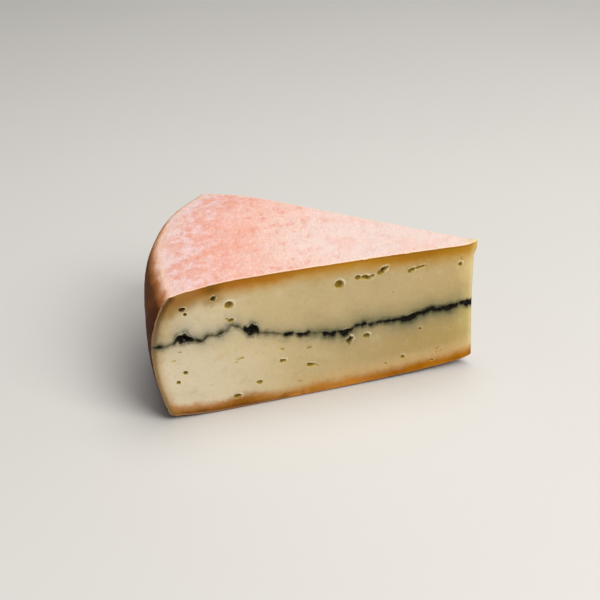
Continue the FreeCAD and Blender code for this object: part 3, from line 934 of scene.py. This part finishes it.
class Nodes:
    """Short names for the shader nodes used below."""

    def __init__(self, name):
        self.mat = bpy.data.materials.new(name)
        self.mat.use_nodes = True
        self.t = self.mat.node_tree
        self.t.nodes.clear()
        self.coord = self.t.nodes.new("ShaderNodeTexCoord").outputs["Object"]

    def link(self, a, b):
        if hasattr(a, "is_output"):
            self.t.links.new(a, b)
        else:
            b.default_value = a

    def attr(self, name):
        n = self.t.nodes.new("ShaderNodeAttribute")
        n.attribute_name = name
        return n.outputs["Fac"]

    def math(self, op, a, b=0.0, c=0.0, clamp=False):
        n = self.t.nodes.new("ShaderNodeMath")
        n.operation = op
        n.use_clamp = clamp
        self.link(a, n.inputs[0])
        self.link(b, n.inputs[1])
        self.link(c, n.inputs[2])
        return n.outputs[0]

    def add(self, a, b):
        return self.math("ADD", a, b)

    def mul(self, a, b):
        return self.math("MULTIPLY", a, b)

    def noise(self, mm, detail=2.0, rough=0.5, shift=0.0, stretch=(1, 1, 1), distort=0.0):
        """Noise from 0 to 1 about 0.5, alike over about mm millimetres."""
        mp = self.t.nodes.new("ShaderNodeMapping")
        mp.inputs["Location"].default_value = (shift, shift * 0.7, shift * 1.3)
        mp.inputs["Scale"].default_value = tuple(1000.0 / mm / k for k in stretch)
        self.t.links.new(self.coord, mp.inputs["Vector"])
        n = self.t.nodes.new("ShaderNodeTexNoise")
        n.inputs["Scale"].default_value = 1.0
        n.inputs["Detail"].default_value = detail
        n.inputs["Roughness"].default_value = rough
        n.inputs["Distortion"].default_value = distort
        self.t.links.new(mp.outputs["Vector"], n.inputs["Vector"])
        return n.outputs["Fac"]

    def step(self, v, lo, hi, to_lo=0.0, to_hi=1.0):
        """v taken smoothly from lo..hi to to_lo..to_hi."""
        n = self.t.nodes.new("ShaderNodeMapRange")
        n.interpolation_type = "SMOOTHSTEP"
        self.link(v, n.inputs["Value"])
        for k, x in (("From Min", lo), ("From Max", hi), ("To Min", to_lo), ("To Max", to_hi)):
            self.link(x, n.inputs[k])
        return n.outputs["Result"]

    def mix(self, f, a, b, blend="MIX"):
        n = self.t.nodes.new("ShaderNodeMix")
        n.data_type = "RGBA"
        n.blend_type = blend
        n.clamp_factor = True
        self.link(f, n.inputs["Factor"])
        self.link(a, [i for i in n.inputs if i.name == "A" and i.type == "RGBA"][0])
        self.link(b, [i for i in n.inputs if i.name == "B" and i.type == "RGBA"][0])
        return [o for o in n.outputs if o.type == "RGBA"][0]

    def ramp(self, v, stops):
        n = self.t.nodes.new("ShaderNodeValToRGB")
        e = n.color_ramp.elements
        while len(e) < len(stops):
            e.new(0.5)
        for k, (x, c) in enumerate(stops):
            e[k].position = x
            e[k].color = c
        self.link(v, n.inputs["Fac"])
        return n.outputs["Color"]

    def bump(self, height, mm, strength=1.0, normal=None):
        n = self.t.nodes.new("ShaderNodeBump")
        n.inputs["Strength"].default_value = strength
        n.inputs["Distance"].default_value = mm / 1000.0
        self.link(height, n.inputs["Height"])
        if normal is not None:
            self.t.links.new(normal, n.inputs["Normal"])
        return n.outputs["Normal"]

    def finish(self, color, rough, normal, scatter, scale, specular):
        b = self.t.nodes.new("ShaderNodeBsdfPrincipled")
        self.link(color, b.inputs["Base Color"])
        self.link(rough, b.inputs["Roughness"])
        self.t.links.new(normal, b.inputs["Normal"])
        b.inputs["Subsurface Weight"].default_value = scatter
        b.inputs["Subsurface Radius"].default_value = (1.0, 0.62, 0.34)
        b.inputs["Subsurface Scale"].default_value = scale / 1000.0
        b.inputs["Specular IOR Level"].default_value = specular
        b.inputs["IOR"].default_value = 1.42
        out = self.t.nodes.new("ShaderNodeOutputMaterial")
        self.t.links.new(b.outputs["BSDF"], out.inputs["Surface"])
        return self.mat


def cheese_material(name):
    n = Nodes(name)
    rind, rim = n.attr("rind"), n.attr("rim")
    d_top, d_rim, d_base = n.attr("d_top"), n.attr("d_rim"), n.attr("d_base")
    ash, pit, lip, run = n.attr("ash"), n.attr("pit"), n.attr("lip"), n.attr("run")
    wide, mid, small, fine = n.noise(26, 3, 0.55, 3), n.noise(7, 3, 0.6, 9), n.noise(2.2, 3, 0.6, 5), n.noise(0.7, 2, 0.6, 7)

    # the cut paste, from the tip to the heel, with faint clouds and specks
    along = n.add(n.mul(run, 1 / 170.0), n.mul(n.add(wide, -0.5), 0.3))
    col = n.ramp(along, [(0.0, rgb(212, 190, 134)), (0.045, rgb(206, 181, 126)), (0.09, rgb(195, 170, 119)), (0.3, rgb(193, 171, 127)),
                         (0.5, rgb(198, 177, 131)), (0.66, rgb(204, 184, 138)), (0.8, rgb(213, 196, 158)), (1.0, rgb(220, 206, 178))])
    low = n.mul(n.mul(n.step(d_base, 36.0, 16.0), n.step(d_base, 5.0, 15.0)), n.step(run, 100.0, 30.0))
    col = n.mix(n.mul(low, 0.62), col, rgb(170, 143, 80))
    low_tip = n.mul(n.mul(n.step(run, 12.0, 5.0), n.step(d_base, 36.5, 32.0)), n.step(d_base, 14.0, 24.0))
    col = n.mix(n.mul(low_tip, 0.6), col, rgb(198, 182, 108))
    pale_in = n.add(d_base, n.mul(n.add(mid, -0.5), 5.0))
    base_pale = n.mul(n.mul(n.step(pale_in, 14.0, 7.0), n.step(d_base, 3.0, 5.0)), n.step(run, 112.0, 80.0))
    col = n.mix(n.mul(base_pale, 0.55), col, rgb(206, 168, 110))
    low_left = n.mul(n.step(d_base, 38.0, 24.0), n.step(run, 88.0, 150.0))
    col = n.mix(n.mul(low_left, 0.8), col, rgb(222, 207, 178))
    col = n.mix(n.step(mid, 0.54, 0.74, 0, 0.25), col, rgb(218, 200, 160))
    col = n.mix(n.step(mid, 0.46, 0.28, 0, 0.22), col, rgb(178, 150, 98))
    col = n.mix(n.step(fine, 0.58, 0.78, 0, 0.3), col, rgb(226, 210, 172))
    col = n.mix(n.step(small, 0.42, 0.25, 0, 0.25), col, rgb(172, 144, 92))
    # the blunt tip is paler: a painted highlight where it faces the lamp
    col = n.mix(n.step(n.add(run, n.mul(n.add(small, -0.5), 3.0)), 4.4, 1.2, 0, 0.55), col, rgb(220, 206, 156))

    # browner under the rind, by how far in it is
    ragged = n.add(n.mul(n.add(mid, -0.5), 3.4), n.mul(n.add(small, -0.5), 1.8))
    top_in = n.add(d_top, ragged)
    base_in = n.add(d_base, ragged)
    narrow = n.mul(n.step(run, 50.0, 64.0), n.step(run, 110.0, 94.0))
    top_in = n.add(top_in, n.mul(narrow, 1.6))
    toward_tip = n.step(run, 100.0, 40.0)
    toward_heel = n.step(run, 118.0, 160.0)
    under_top = n.ramp(n.mul(run, 1 / 170.0), [(0.0, rgb(192, 142, 40)), (0.06, rgb(180, 128, 14)), (0.16, rgb(164, 108, 0)),
                                               (0.4, rgb(184, 128, 22)), (0.7, rgb(174, 108, 6)), (0.775, rgb(168, 104, 8)), (0.815, rgb(122, 76, 0)),
                                               (0.855, rgb(158, 98, 10)), (0.9, rgb(164, 104, 30)), (1.0, rgb(160, 102, 34))])
    by_eye = n.mul(n.mul(n.step(run, 131.0, 136.0), n.step(run, 146.0, 141.0)), n.step(top_in, 13.0, 9.0))
    col = n.mix(n.mul(by_eye, 0.62), col, rgb(146, 110, 50))
    outer = n.step(top_in, 12.0, 5.0, 0, 0.74)
    col = n.mix(outer, col, n.mix(0.5, under_top, rgb(196, 152, 62)))
    col = n.mix(n.step(top_in, 7.0, 2.8, 0, 0.9), col, under_top)
    col = n.mix(n.step(n.add(d_top, n.mul(n.add(small, -0.5), 1.2)), 2.0, 0.7, 0, 0.35), col, rgb(136, 76, 0))
    # a light salmon line along the rounded top edge: partly rind colour, partly a painted highlight
    col = n.mix(n.step(d_top, 0.42, 0.12, 0, 0.7), col, rgb(226, 172, 120))
    # the painted highlight on the blunt tip, carried through the band under the rind
    col = n.mix(n.mul(n.step(run, 4.6, 1.4, 0, 0.6), n.step(d_top, 12.0, 8.0)), col, rgb(222, 194, 130))
    over_base = n.ramp(n.mul(run, 1 / 170.0), [(0.0, rgb(178, 112, 0)), (0.1, rgb(176, 110, 0)), (0.26, rgb(164, 98, 0)),
                                               (0.4, rgb(190, 124, 42)), (0.52, rgb(188, 126, 46)), (0.64, rgb(180, 122, 50)), (0.74, rgb(148, 92, 14)),
                                               (0.86, rgb(160, 100, 34)), (1.0, rgb(156, 102, 40))])
    col = n.mix(n.mul(n.step(run, 104.0, 118.0), n.step(base_in, 7.6, 4.0, 0, 0.9)), col, rgb(198, 146, 94))
    spot = n.mul(n.step(run, 112.0, 122.0), n.step(run, 136.0, 127.0))
    shift = n.math("MULTIPLY_ADD", spot, 2.6, n.add(n.mul(toward_heel, -1.1), n.mul(n.step(run, 136.0, 148.0), -0.7)))
    spread = n.add(n.step(base_in, n.add(7.3, shift), n.add(2.2, n.mul(shift, 0.6)), 0, 0.78),
                   n.step(base_in, n.add(9.5, shift), 3.0, 0, 0.21))
    col = n.mix(spread, col, over_base)
    brown = n.mul(n.step(n.noise(9, 3, 0.6, 51), 0.46, 0.62), n.step(n.noise(60, 2, 0.5, 53), 0.3, 0.6, 0.3, 1.0))
    col = n.mix(n.mul(brown, n.step(n.add(d_base, n.mul(n.add(small, -0.5), 1.6)), 4.2, 1.4, 0, 0.7)), col,
                n.mix(toward_tip, rgb(112, 64, 14), rgb(140, 84, 0)))
    dark_line = n.step(n.add(d_base, n.mul(n.add(small, -0.5), 1.0)), 2.7, 1.5, 0, 0.5)
    col = n.mix(n.mul(dark_line, n.step(run, 96.0, 118.0)), col, rgb(98, 60, 20))
    pale_line = n.math("MULTIPLY_ADD", n.step(run, 96.0, 112.0), 0.55, 0.75)
    col = n.mix(n.step(d_base, pale_line, n.mul(pale_line, 0.35), 0, 0.7), col, rgb(170, 134, 110))
    # beside the rim: greyish, browner above
    rim_in = n.add(d_rim, n.mul(ragged, 0.45))
    high = n.step(d_base, 26.0, 46.0)
    corner = n.step(d_base, 46.0, 54.0)
    col = n.mix(n.mul(n.step(rim_in, 18.0, 5.0, 0, 0.6), high), col, rgb(184, 158, 106))
    rim_wide = n.math("MULTIPLY_ADD", high, 1.5, 3.0)
    by_rim = n.mix(corner, n.mix(high, rgb(124, 97, 52), rgb(112, 86, 52)), rgb(88, 60, 26))
    col = n.mix(n.step(rim_in, n.add(rim_wide, 4.4), n.add(rim_wide, -1.4), 0, 0.55), col,
                n.mix(high, rgb(172, 132, 66), rgb(150, 120, 70)))
    upper_corner = n.mul(n.step(top_in, 13.5, 7.0), n.step(d_rim, 20.0, 9.0))
    col = n.mix(n.mul(upper_corner, 0.8), col, n.mix(n.step(top_in, 8.0, 4.0), rgb(154, 118, 62), rgb(158, 106, 44)))
    col = n.mix(n.step(rim_in, n.add(rim_wide, 0.6), n.math("MULTIPLY_ADD", rim_wide, 0.5, -0.4), 0, 0.85), col, by_rim)
    col = n.mix(n.step(n.add(d_rim, n.mul(n.add(small, -0.5), 0.9)), 1.3, 0.5, 0, 0.6), col,
                n.mix(n.step(fine, 0.4, 0.65), rgb(126, 100, 84), n.mix(corner, rgb(166, 142, 122), rgb(206, 176, 146))))

    # ash smeared on the paste beside the layer
    halo = n.noise(5.5, 3, 0.6, 61, stretch=(1.6, 1.6, 0.8))
    dark = n.attr("dark")
    thin = n.math("SUBTRACT", 1.0, dark)
    lay = n.noise(1.9, 3, 0.65, 65, stretch=(2.4, 2.4, 0.8))
    smear = n.add(ash, n.mul(n.add(halo, -0.5), -6.0))
    smear = n.add(smear, n.mul(n.add(small, -0.5), -1.8))
    haze = n.mul(n.attr("haze"), n.math("MULTIPLY_ADD", n.add(halo, n.mul(mid, 0.5)), 0.9, 0.33))
    col = n.mix(haze, col, n.mix(n.step(run, 80.0, 125.0), n.mix(mid, rgb(104, 100, 60), rgb(98, 106, 80)), rgb(106, 108, 96)))
    col = n.mix(n.mul(n.step(smear, 2.8, -0.2, 0, 0.6), n.math("MULTIPLY_ADD", dark, 0.5, 0.5)), col,
                n.mix(halo, rgb(84, 78, 48), rgb(104, 104, 84)))
    # painted highlight: cream on the upper rims of the eyes and above the ash hollows
    col = n.mix(n.step(lip, 0.12, 0.9, 0, 0.75), col, rgb(242, 232, 200))
    # eyes: olive inside, darkened toward each eye's bottom as painted shade in the hollow, some stained
    col = n.mix(n.step(pit, 0.04, 0.42, 0, 0.65), col, n.mix(dark, rgb(190, 168, 78), rgb(128, 104, 52)))
    col = n.mix(n.step(pit, 0.42, 0.98, 0, 0.85), col,
                n.mix(dark, n.mix(small, rgb(150, 122, 24), rgb(112, 86, 10)), rgb(54, 40, 12)))
    wander = n.add(n.mul(n.add(small, -0.5), -1.6), n.mul(n.add(lay, -0.5), -2.6))
    near = n.add(n.add(ash, n.mul(thin, 0.3)), wander)
    col = n.mix(n.step(near, 2.0, 0.1, 0, 0.78), col, n.mix(dark, rgb(122, 114, 82), rgb(62, 55, 36)))
    core = n.add(n.add(ash, n.mul(thin, 0.4)), n.mul(wander, 0.45))
    col = n.mix(n.step(core, 0.85, 0.15, 0, 0.93), col, n.mix(dark, rgb(92, 86, 60), rgb(16, 12, 6)))
    crumbs = n.mul(n.step(n.noise(0.9, 2, 0.5, 63), 0.62, 0.68), n.step(n.add(ash, n.mul(n.add(halo, -0.5), -6)), 3.4, 1.0))
    col = n.mix(n.mul(n.mul(crumbs, 0.75), n.math("MULTIPLY_ADD", dark, 0.6, 0.4)), col, rgb(52, 48, 34))

    # the rind: salmon on top, paler to the tip (partly its own tone, partly painted sheen where the lamp falls), bloom
    # near the edge, brown on the rim
    streak = n.noise(5.0, 4, 0.65, 21, stretch=(0.85, 1.5, 1.0))
    patch = n.noise(2.5, 3, 0.6, 27, stretch=(0.85, 1.45, 1.0))
    mott = n.noise(1.2, 3, 0.65, 23, stretch=(0.9, 1.35, 1.0))
    specks = n.noise(0.55, 2, 0.5, 25)
    r_along = n.add(n.mul(run, 1 / 210.0), n.mul(n.add(wide, -0.5), 0.24))
    top = n.ramp(r_along, [(0.0, rgb(233, 211, 199)), (0.2, rgb(232, 208, 199)), (0.38, rgb(236, 210, 199)),
                           (0.5, rgb(237, 198, 183)), (0.64, rgb(238, 170, 149)), (0.7, rgb(237, 176, 158)),
                           (0.77, rgb(243, 208, 194))])
    paler = n.step(run, 112.0, 62.0)
    depth = n.step(paler, 0.0, 1.0, 0.85, 0.3)
    broad = n.noise(15, 3, 0.6, 33, stretch=(1.0, 1.3, 1.0))
    top = n.mix(n.step(broad, 0.5, 0.68, 0, 0.25), top, rgb(242, 206, 196))
    top = n.mix(n.step(broad, 0.5, 0.32, 0, 0.3), top, rgb(236, 166, 145))
    top = n.mix(n.mul(depth, n.step(streak, 0.52, 0.68, 0, 0.6)), top, rgb(246, 212, 198))
    top = n.mix(n.mul(depth, n.step(streak, 0.48, 0.32, 0, 0.7)), top, rgb(230, 142, 120))
    top = n.mix(n.mul(depth, n.step(patch, 0.55, 0.68, 0, 0.55)), top, rgb(246, 206, 202))
    top = n.mix(n.mul(depth, n.step(patch, 0.45, 0.32, 0, 0.5)), top, rgb(230, 158, 128))
    top = n.mix(n.mul(depth, n.step(mott, 0.56, 0.7, 0, 0.45)), top, rgb(250, 224, 214))
    top = n.mix(n.mul(depth, n.step(mott, 0.44, 0.3, 0, 0.4)), top, rgb(216, 136, 116))
    top = n.mix(n.step(specks, 0.6, 0.72, 0, 0.2), top, rgb(255, 230, 220))
    top = n.mix(n.step(specks, 0.4, 0.28, 0, 0.2), top, rgb(200, 124, 106))
    dots = n.mul(n.step(n.noise(1.7, 2, 0.5, 29), 0.68, 0.73), n.step(run, 100.0, 150.0, 0.15, 0.8))
    top = n.mix(dots, top, rgb(190, 128, 128))
    bloom = n.mul(n.step(n.noise(8, 4, 0.62, 31), 0.42, 0.6), n.step(run, 116.0, 154.0, 0.03, 0.95))
    top = n.mix(n.mul(bloom, n.step(patch, 0.35, 0.6, 0.5, 1.0)), top, rgb(243, 213, 212))
    # the rim: orange brown at its upper edge, then chestnut with darker and greyer patches
    lay = n.noise(16, 5, 0.68, 41, stretch=(1, 1, 0.7))
    rim_col = n.mix(n.step(lay, 0.34, 0.66), rgb(62, 24, 0), rgb(100, 43, 0))
    rim_col = n.mix(n.step(mott, 0.54, 0.72, 0, 0.32), rim_col, rgb(150, 82, 20))
    rim_col = n.mix(n.step(n.noise(3.6, 4, 0.65, 49), 0.45, 0.3, 0, 0.45), rim_col, rgb(50, 22, 0))
    rim_col = n.mix(n.step(n.noise(38, 3, 0.6, 55), 0.48, 0.66, 0, 0.45), rim_col, rgb(150, 86, 22))
    rim_col = n.mix(n.mul(n.step(n.noise(6, 3, 0.6, 47), 0.58, 0.72), 0.22), rim_col, rgb(160, 124, 84))
    far = n.add(rim, n.mul(n.add(mid, -0.5), 7.0))
    rind_col = n.mix(n.step(far, -6.5, -1.5, 0, 0.65), top, rgb(240, 198, 170))
    rind_col = n.mix(n.step(far, -3.0, 2.0, 0, 0.92), rind_col, rgb(202, 122, 52))
    rind_col = n.mix(n.step(far, 0.5, 7.5), rind_col, rim_col)
    on_top = n.step(far, 2.0, -3.0)
    # a painted highlight along the top rind's rounded edge beside each cut
    rind_col = n.mix(n.mul(on_top, n.step(n.add(n.attr("edge"), n.mul(n.add(mott, -0.5), 1.2)), 1.6, 0.3, 0, 0.6)), rind_col, rgb(248, 214, 180))
    tip = n.add(run, n.mul(n.add(small, -0.5), 2.5))
    rind_col = n.mix(n.mul(n.step(tip, 8.5, 2.5, 0, 0.75), on_top), rind_col, rgb(232, 208, 156))
    col = n.mix(rind, col, rind_col)

    rough = n.add(0.42, n.mul(rind, 0.24))
    rough = n.add(rough, n.mul(n.add(small, -0.5), 0.3))
    rough = n.add(rough, n.mul(n.step(smear, 1.0, 0.0), 0.2))
    cut_h = n.add(n.mul(mid, 0.35), n.add(n.mul(small, 0.4), n.mul(fine, 0.25)))
    rind_h = n.add(n.mul(streak, 0.4), n.add(n.mul(mott, 0.45), n.mul(specks, 0.3)))
    cut_n = n.bump(n.mul(cut_h, n.math("SUBTRACT", 1.0, rind)), 0.35, 0.8)
    normal = n.bump(n.mul(rind_h, rind), 0.85, 0.9, cut_n)
    return n.finish(col, rough, normal, 0.2, 1.4, 0.09)


def ash_material(name):
    n = Nodes(name)
    rind = n.attr("rind")
    mid, small, fine = n.noise(3.0, 3, 0.6, 13), n.noise(1.1, 3, 0.6, 15), n.noise(0.4, 2, 0.6, 17)
    lay = n.noise(1.4, 3, 0.65, 19, stretch=(2.0, 2.0, 0.7))
    col = n.mix(n.step(small, 0.35, 0.7), rgb(8, 6, 3), rgb(28, 25, 17))
    col = n.mix(n.step(mid, 0.58, 0.74, 0, 0.45), col, rgb(62, 58, 42))
    col = n.mix(n.step(lay, 0.58, 0.72, 0, 0.5), col, rgb(84, 76, 54))
    thin = n.mul(n.step(n.attr("dark"), 0.6, 0.05), n.step(mid, 0.3, 0.6, 0.55, 1.0))
    col = n.mix(thin, col, n.mix(small, rgb(92, 86, 62), rgb(128, 120, 92)))
    col = n.mix(n.step(fine, 0.66, 0.76, 0, 0.25), col, rgb(104, 98, 78))
    col = n.mix(rind, col, rgb(96, 56, 18))
    rough = n.step(small, 0.3, 0.7, 0.62, 0.85)
    height = n.add(n.mul(mid, 0.4), n.add(n.mul(small, 0.4), n.mul(fine, 0.3)))
    return n.finish(col, rough, n.bump(height, 0.5, 0.9), 0.0, 1.0, 0.12)


def floor_material():
    n = Nodes("floor_finish")
    big, small = n.noise(300, 3, 0.5, 2), n.noise(4, 2, 0.5, 4)
    col = n.mix(big, rgb(214, 211, 206), rgb(220, 217, 212))
    return n.finish(col, 0.75, n.bump(small, 0.05, 0.3), 0.0, 1.0, 0.25)


# ---------------------------------------------------------------- pieces ----
paste = cheese_material("cheese_finish")
upper = build_paste("top", "cheese_upper", paste, (0.55, 0.36, 0.2), (0.7, 0.42, 0.26), (0.85, 0.45))
lower = build_paste("bottom", "cheese_lower", paste, (0.58, 0.37, 0.2), (0.72, 0.43, 0.26), (0.9, 0.45))
seam = build_ash("ash_seam", ash_material("ash_finish"))
for piece, node, slot in ((upper, "paste_upper", "paste"), (lower, "paste_lower", "paste"), (seam, "ash_layer", "ash")):
    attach(piece, sorted(frame["bodies"])[0])
    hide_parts(node)

bpy.ops.mesh.primitive_plane_add(size=40.0, location=(0, 0, CAD_LO.z - 0.0002))
floor = bpy.context.object
floor.name = "floor"
floor.data.materials.append(floor_material())


# ---------------------------------------------------------------- light -----
def softbox(name, place, aim, size, watts, color=(1, 1, 1)):
    data = bpy.data.lights.new(name, "AREA")
    data.shape = "RECTANGLE"
    data.size, data.size_y = size
    data.energy = watts
    data.color = color
    ob = bpy.data.objects.new(name, data)
    ob.location = place
    ob.rotation_mode = "QUATERNION"
    ob.rotation_quaternion = (Vector(aim) - Vector(place)).to_track_quat("-Z", "Y")
    bpy.context.scene.collection.objects.link(ob)


middle = (0.0, 0.0, 0.036)
softbox("key", (0.85, -0.7, 1.1), middle, (0.9, 0.9), 18.0, (1.0, 0.985, 0.96))
softbox("overhead", (0.2, 0.3, 1.5), middle, (1.1, 1.1), 12.3)
world = bpy.data.worlds.new("studio")
world.use_nodes = True
world.node_tree.nodes["Background"].inputs[0].default_value = (1.0, 1.0, 1.0, 1.0)
world.node_tree.nodes["Background"].inputs[1].default_value = 0.2
bpy.context.scene.world = world
bpy.context.scene.view_settings.view_transform = "Standard"
bpy.context.scene.view_settings.look = "None"

# ---------------------------------------------------------------- camera ----
AZIMUTH, ELEVATION, DISTANCE, ROLL = math.radians(4.75), math.radians(27.47), 0.590, math.radians(-1.1)
target = Vector(((CAD_LO.x + CAD_HI.x) / 2 + 0.0002, (CAD_LO.y + CAD_HI.y) / 2 - 0.00009, CAD_LO.z + 0.036))
back = Vector((math.sin(AZIMUTH) * math.cos(ELEVATION), -math.cos(AZIMUTH) * math.cos(ELEVATION), math.sin(ELEVATION)))
right = Vector((0, 0, 1)).cross(back).normalized()
up = back.cross(right)
cam_right = right * math.cos(ROLL) + up * math.sin(ROLL)
cam_up = up * math.cos(ROLL) - right * math.sin(ROLL)
data = bpy.data.cameras.new("camera")
data.sensor_width = 36.0
data.lens = 36.0 * 1.907 * 590.0 / 600.0
data.shift_x, data.shift_y = -10.75 / 600.0, -1.3 / 600.0
data.clip_start, data.clip_end = 0.01, 50.0
camera = bpy.data.objects.new("camera", data)
camera.matrix_world = Matrix.Translation(target + back * DISTANCE) @ Matrix(
    (cam_right, cam_up, back)).transposed().to_4x4()
bpy.context.scene.collection.objects.link(camera)
bpy.context.scene.camera = camera
